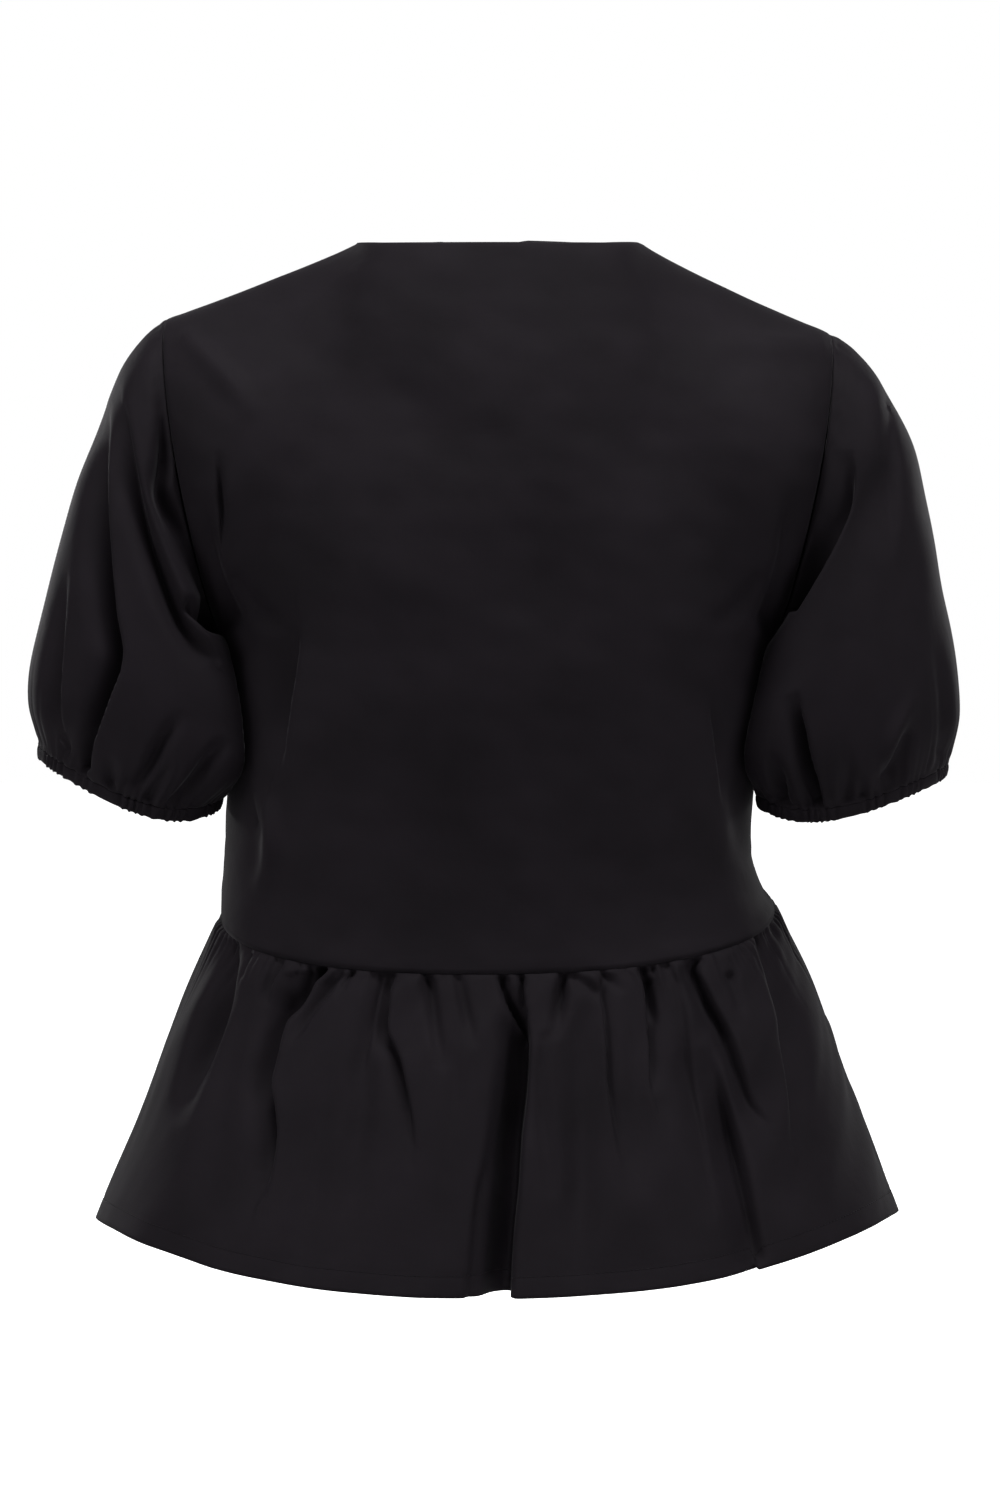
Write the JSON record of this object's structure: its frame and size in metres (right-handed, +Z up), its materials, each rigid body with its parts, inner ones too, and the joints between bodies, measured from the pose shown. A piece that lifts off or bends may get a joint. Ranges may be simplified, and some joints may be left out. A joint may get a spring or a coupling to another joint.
{
  "type": "short-sleeved peplum top",
  "caption": "Short puff-sleeved top in black woven cloth with a plain bodice, elastic cuffs and a gathered peplum, in its hollow worn shape",
  "frame": {"origin": "midway between the shoulder seams, level with their upper ends at the neck, where the wearer's shoulders hold the top up", "axes": "+Z up; +Y to the front of the top; +X to the wearer's right sleeve, seen from behind on the right"},
  "size_m": [0.5569, 0.3586, 0.6109],
  "materials": {
    "bodice_back": "plain woven cloth, matte with a faint sheen",
    "bodice_front": "plain woven cloth, matte with a faint sheen",
    "peplum_back": "plain woven cloth, matte with a faint sheen",
    "peplum_front": "plain woven cloth, matte with a faint sheen",
    "sleeve_left": "plain woven cloth, matte with a faint sheen",
    "sleeve_right": "plain woven cloth, matte with a faint sheen",
    "cuff_left": "plain woven cloth, matte with a faint sheen",
    "cuff_right": "plain woven cloth, matte with a faint sheen",
    "neck_facing": "plain woven cloth, matte with a faint sheen"
  },
  "bodies": {
    "root": {"bodice_back": "bodice_back", "bodice_front": "bodice_front", "peplum_back": "peplum_back", "peplum_front": "peplum_front", "sleeve_left": "sleeve_left", "sleeve_right": "sleeve_right", "cuff_left": "cuff_left", "cuff_right": "cuff_right", "neck_facing": "neck_facing"}
  },
  "joints": []
}
